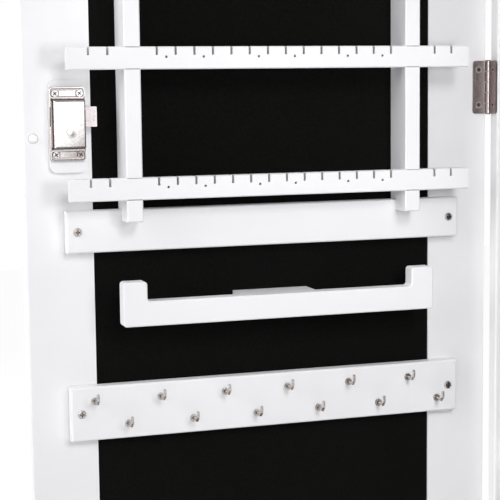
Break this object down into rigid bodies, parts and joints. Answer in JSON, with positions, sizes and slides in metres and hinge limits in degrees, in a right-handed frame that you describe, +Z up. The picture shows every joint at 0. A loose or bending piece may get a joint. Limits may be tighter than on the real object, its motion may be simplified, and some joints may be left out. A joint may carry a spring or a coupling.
{
  "type": "jewelry mirror cabinet",
  "caption": "Shallow lockable wall cabinet with a mirror door: earring racks, bracelet bar and hook rail inside the door, necklace hooks and shelves in the box.",
  "frame": {"origin": "centre of the back board's back face, which lies on the wall", "axes": "+Z up, -Y out of the wall to the front of the cabinet, +X to the right seen from the front; the door is modelled open by 90 degrees"},
  "size_m": [0.3925, 0.4478, 1.2],
  "materials": {
    "white_lacquer": "satin white lacquer on fibreboard",
    "black_velvet": "short-pile black velvet",
    "mirror": "silvered glass",
    "nickel": "bright nickel plate",
    "hinge_steel": "nickel-plated steel, slightly dull",
    "screw_steel": "plated steel",
    "white_rubber": "soft white bumper"
  },
  "bodies": {
    "cabinet": {"back_board": "white_lacquer", "bottom_panel": "white_lacquer", "cabinet_screws": "screw_steel", "hanging_rail_bottom": "white_lacquer", "hanging_rail_top": "white_lacquer", "hinge_leaf_cabinet_bottom": "hinge_steel", "hinge_leaf_cabinet_middle": "hinge_steel", "hinge_leaf_cabinet_top": "hinge_steel", "necklace_hooks": "screw_steel", "necklace_rail": "white_lacquer", "shelf_1": "white_lacquer", "shelf_2": "white_lacquer", "shelf_3": "white_lacquer", "shelf_lip_1": "white_lacquer", "shelf_lip_2": "white_lacquer", "shelf_lip_3": "white_lacquer", "side_panel_left": "white_lacquer", "side_panel_right": "white_lacquer", "strike_bracket": "nickel", "top_panel": "white_lacquer", "velvet_lining": "black_velvet"},
    "door": {"backing_panel": "black_velvet", "bar_block": "white_lacquer", "bracelet_bar": "white_lacquer", "bumpers": "white_rubber", "cross_panel_bottom": "white_lacquer", "cross_panel_top": "white_lacquer", "door_hooks": "screw_steel", "door_rail_bottom": "white_lacquer", "door_rail_top": "white_lacquer", "earring_rack_1": "white_lacquer", "earring_rack_2": "white_lacquer", "earring_rack_3": "white_lacquer", "earring_rack_4": "white_lacquer", "earring_rack_5": "white_lacquer", "earring_rack_6": "white_lacquer", "escutcheon": "nickel", "hinge_leaf_door_bottom": "hinge_steel", "hinge_leaf_door_middle": "hinge_steel", "hinge_leaf_door_top": "hinge_steel", "hinge_pins": "hinge_steel", "hinge_screws_door": "hinge_steel", "hinge_stile": "white_lacquer", "hook_rail": "white_lacquer", "lock_case": "nickel", "lock_screws": "nickel", "lock_stile": "white_lacquer", "mirror_glass": "mirror", "packer_plate": "white_lacquer", "panel_screws": "screw_steel", "post_left": "white_lacquer", "post_right": "white_lacquer"},
    "bolt": {"lock_bolt": "nickel"},
    "plug": {"lock_plug": "nickel"}
  },
  "joints": [
    {"name": "door_swing", "type": "hinge", "parent": "cabinet", "child": "door", "pos_m": [-0.1862, -0.07665, 0], "axis": [0, 0, 1], "range_deg": [-90, 90]},
    {"name": "plug_turn", "type": "hinge", "parent": "door", "child": "plug", "pos_m": [-0.20585, -0.41585, -0.0227], "axis": [1, 0, 0], "range_deg": [-180, 0]},
    {"name": "bolt_slide", "type": "slide", "parent": "door", "child": "bolt", "axis": [0, 1, 0], "range_m": [-0.007, 0]}
  ],
  "couplings": [
    {"joint": "plug_turn", "follows": "bolt_slide", "rad_per_m": 448.79}
  ]
}
